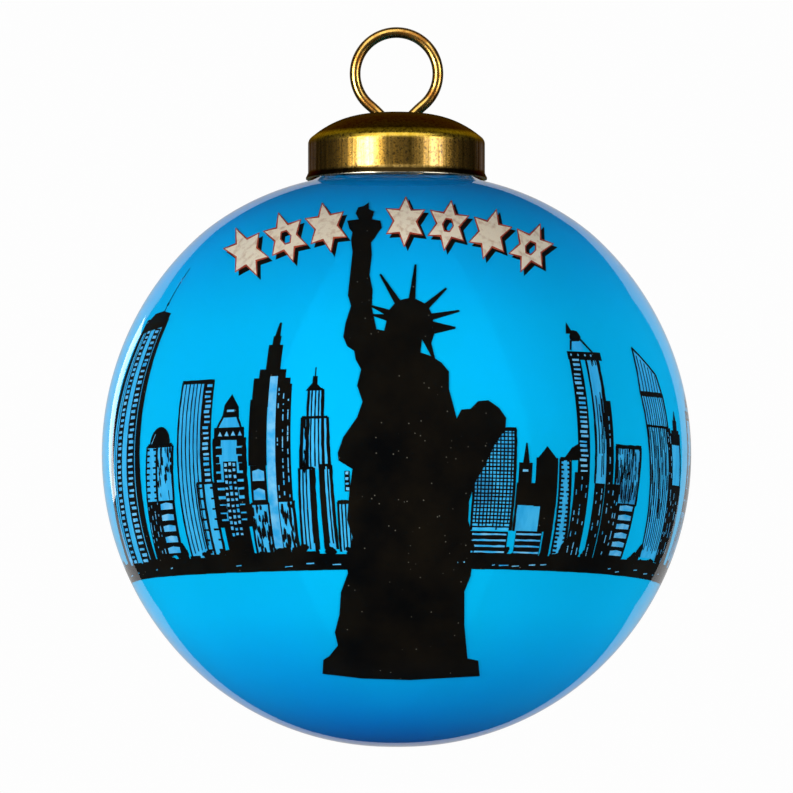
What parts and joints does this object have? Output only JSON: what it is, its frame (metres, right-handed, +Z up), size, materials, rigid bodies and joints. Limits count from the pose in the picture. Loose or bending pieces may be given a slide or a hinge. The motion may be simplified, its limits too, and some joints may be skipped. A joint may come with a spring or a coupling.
{
  "type": "hanging glass ball ornament",
  "caption": "Hanging glass ball ornament painted on the inside with a city skyline, a torch-bearing statue and a star garland, under a domed brass cap with a wire ring.",
  "frame": {"origin": "the point inside the top of the hanging ring where a hook bears", "axes": "+Z up along the ball's axis, -Y out of the painted front, +X to the right seen from the front and along the ring's pivot"},
  "size_m": [0.0758, 0.0758, 0.093],
  "materials": {
    "ring_brass": "polished wire, lightly tarnished",
    "antique_brass": "antiqued, dark patina rubbed back at the shoulder",
    "adhesive": "cured clear glue",
    "clear_glass": "blown, polished",
    "sky_paint": "opaque paint film seen through the glass",
    "tint_paint": "opaque paint film seen through the glass",
    "ink_paint": "opaque paint film seen through the glass",
    "statue_paint": "opaque paint film seen through the glass",
    "cream_paint": "opaque paint film seen through the glass",
    "red_paint": "opaque paint film seen through the glass",
    "shadow_paint": "opaque paint film seen through the glass"
  },
  "bodies": {
    "ring": {"hanging_ring": "ring_brass"},
    "ornament": {"cap_shell": "antique_brass", "cap_adhesive": "adhesive", "glass_ball": "clear_glass", "sky_coat": "sky_paint", "tower_tint_coat": "tint_paint", "skyline_coat": "ink_paint", "statue_coat": "statue_paint", "garland_cream_left": "cream_paint", "garland_cream_right": "cream_paint", "garland_red_left": "red_paint", "garland_red_right": "red_paint", "garland_shadow_left": "shadow_paint", "garland_shadow_right": "shadow_paint"}
  },
  "joints": [
    {"name": "ring_swing", "type": "hinge", "parent": "ring", "child": "ornament", "pos_m": [0, 0, -0.00993], "axis": [1, 0, 0], "range_deg": [-27, 27]}
  ]
}
